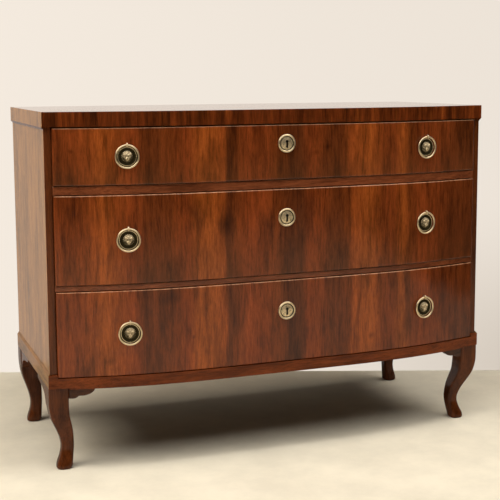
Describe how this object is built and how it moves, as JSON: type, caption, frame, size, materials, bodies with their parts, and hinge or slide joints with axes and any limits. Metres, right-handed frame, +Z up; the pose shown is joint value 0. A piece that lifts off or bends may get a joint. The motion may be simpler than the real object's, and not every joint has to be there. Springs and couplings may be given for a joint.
{
  "type": "chest of drawers",
  "caption": "Bow-fronted walnut chest of drawers on cabriole legs, with full-width drawers, round ring pulls with mask bosses, keyhole plates and locks.",
  "frame": {"origin": "on the floor under the middle of the whole chest's outline", "axes": "+X along the width towards the right end, +Y from the bowed front to the back, +Z up"},
  "size_m": [1.2092, 0.5405, 0.89],
  "materials": {
    "walnut_veneer": "French-polished walnut veneer laid with upright grain, red-brown with dark streaks, glossy",
    "walnut_solid": "dark polished walnut, worn to a soft sheen",
    "pine": "old bare pine, planed",
    "beech": "old bare drawer linings, planed",
    "aged_brass": "cast and stamped brass, aged, dark in the hollows and rubbed bright on the high parts",
    "bolt_brass": "plain brass",
    "lock_iron": "dark forged iron lock case"
  },
  "bodies": {
    "carcass": {"top_board": "walnut_veneer", "side_left": "walnut_veneer", "side_right": "walnut_veneer", "back_panel": "pine", "rail_upper": "walnut_solid", "rail_lower": "walnut_solid", "runner_1_left": "beech", "runner_1_right": "beech", "runner_2_left": "beech", "runner_2_right": "beech", "runner_3_left": "beech", "runner_3_right": "beech", "carcass_bottom": "pine", "frame_front": "walnut_veneer", "frame_left": "walnut_veneer", "frame_right": "walnut_veneer", "frame_back": "pine", "leg_front_left": "walnut_solid", "leg_front_right": "walnut_solid", "leg_back_left": "walnut_solid", "leg_back_right": "walnut_solid", "ear_front_left": "walnut_solid", "ear_front_right": "walnut_solid"},
    "drawer_1": {"drawer_1_front": "walnut_veneer", "drawer_1_side_left": "beech", "drawer_1_side_right": "beech", "drawer_1_back": "beech", "drawer_1_bottom": "pine", "lock_1_case": "lock_iron", "escutcheon_1": "aged_brass", "pull_1_left_plate": "aged_brass", "pull_1_right_plate": "aged_brass"},
    "drawer_2": {"drawer_2_front": "walnut_veneer", "drawer_2_side_left": "beech", "drawer_2_side_right": "beech", "drawer_2_back": "beech", "drawer_2_bottom": "pine", "lock_2_case": "lock_iron", "escutcheon_2": "aged_brass", "pull_2_left_plate": "aged_brass", "pull_2_right_plate": "aged_brass"},
    "drawer_3": {"drawer_3_front": "walnut_veneer", "drawer_3_side_left": "beech", "drawer_3_side_right": "beech", "drawer_3_back": "beech", "drawer_3_bottom": "pine", "lock_3_case": "lock_iron", "escutcheon_3": "aged_brass", "pull_3_left_plate": "aged_brass", "pull_3_right_plate": "aged_brass"},
    "ring_1_left": {"pull_1_left_ring": "aged_brass"},
    "ring_1_right": {"pull_1_right_ring": "aged_brass"},
    "ring_2_left": {"pull_2_left_ring": "aged_brass"},
    "ring_2_right": {"pull_2_right_ring": "aged_brass"},
    "ring_3_left": {"pull_3_left_ring": "aged_brass"},
    "ring_3_right": {"pull_3_right_ring": "aged_brass"},
    "bolt_1": {"lock_1_bolt": "bolt_brass"},
    "bolt_2": {"lock_2_bolt": "bolt_brass"},
    "bolt_3": {"lock_3_bolt": "bolt_brass"}
  },
  "joints": [
    {"name": "drawer_1_slide", "type": "slide", "parent": "carcass", "child": "drawer_1", "axis": [0, -1, 0], "range_m": [0, 0.36]},
    {"name": "drawer_2_slide", "type": "slide", "parent": "carcass", "child": "drawer_2", "axis": [0, -1, 0], "range_m": [0, 0.36]},
    {"name": "drawer_3_slide", "type": "slide", "parent": "carcass", "child": "drawer_3", "axis": [0, -1, 0], "range_m": [0, 0.36]},
    {"name": "ring_1_left_swing", "type": "hinge", "parent": "drawer_1", "child": "ring_1_left", "pos_m": [-0.40937, -0.25562, 0.8094], "axis": [-0.9889, 0.1486, 0], "range_deg": [-2, 165]},
    {"name": "ring_1_right_swing", "type": "hinge", "parent": "drawer_1", "child": "ring_1_right", "pos_m": [0.40937, -0.25562, 0.8094], "axis": [-0.9889, -0.1486, 0], "range_deg": [-2, 165]},
    {"name": "ring_2_left_swing", "type": "hinge", "parent": "drawer_2", "child": "ring_2_left", "pos_m": [-0.40937, -0.25562, 0.60675], "axis": [-0.9889, 0.1486, 0], "range_deg": [-2, 165]},
    {"name": "ring_2_right_swing", "type": "hinge", "parent": "drawer_2", "child": "ring_2_right", "pos_m": [0.40937, -0.25562, 0.60675], "axis": [-0.9889, -0.1486, 0], "range_deg": [-2, 165]},
    {"name": "ring_3_left_swing", "type": "hinge", "parent": "drawer_3", "child": "ring_3_left", "pos_m": [-0.40937, -0.25562, 0.37575], "axis": [-0.9889, 0.1486, 0], "range_deg": [-2, 165]},
    {"name": "ring_3_right_swing", "type": "hinge", "parent": "drawer_3", "child": "ring_3_right", "pos_m": [0.40937, -0.25562, 0.37575], "axis": [-0.9889, -0.1486, 0], "range_deg": [-2, 165]},
    {"name": "lock_1_bolt_slide", "type": "slide", "parent": "drawer_1", "child": "bolt_1", "axis": [0, 0, 1], "range_m": [0, 0.007]},
    {"name": "lock_2_bolt_slide", "type": "slide", "parent": "drawer_2", "child": "bolt_2", "axis": [0, 0, 1], "range_m": [0, 0.007]},
    {"name": "lock_3_bolt_slide", "type": "slide", "parent": "drawer_3", "child": "bolt_3", "axis": [0, 0, 1], "range_m": [0, 0.007]}
  ]
}
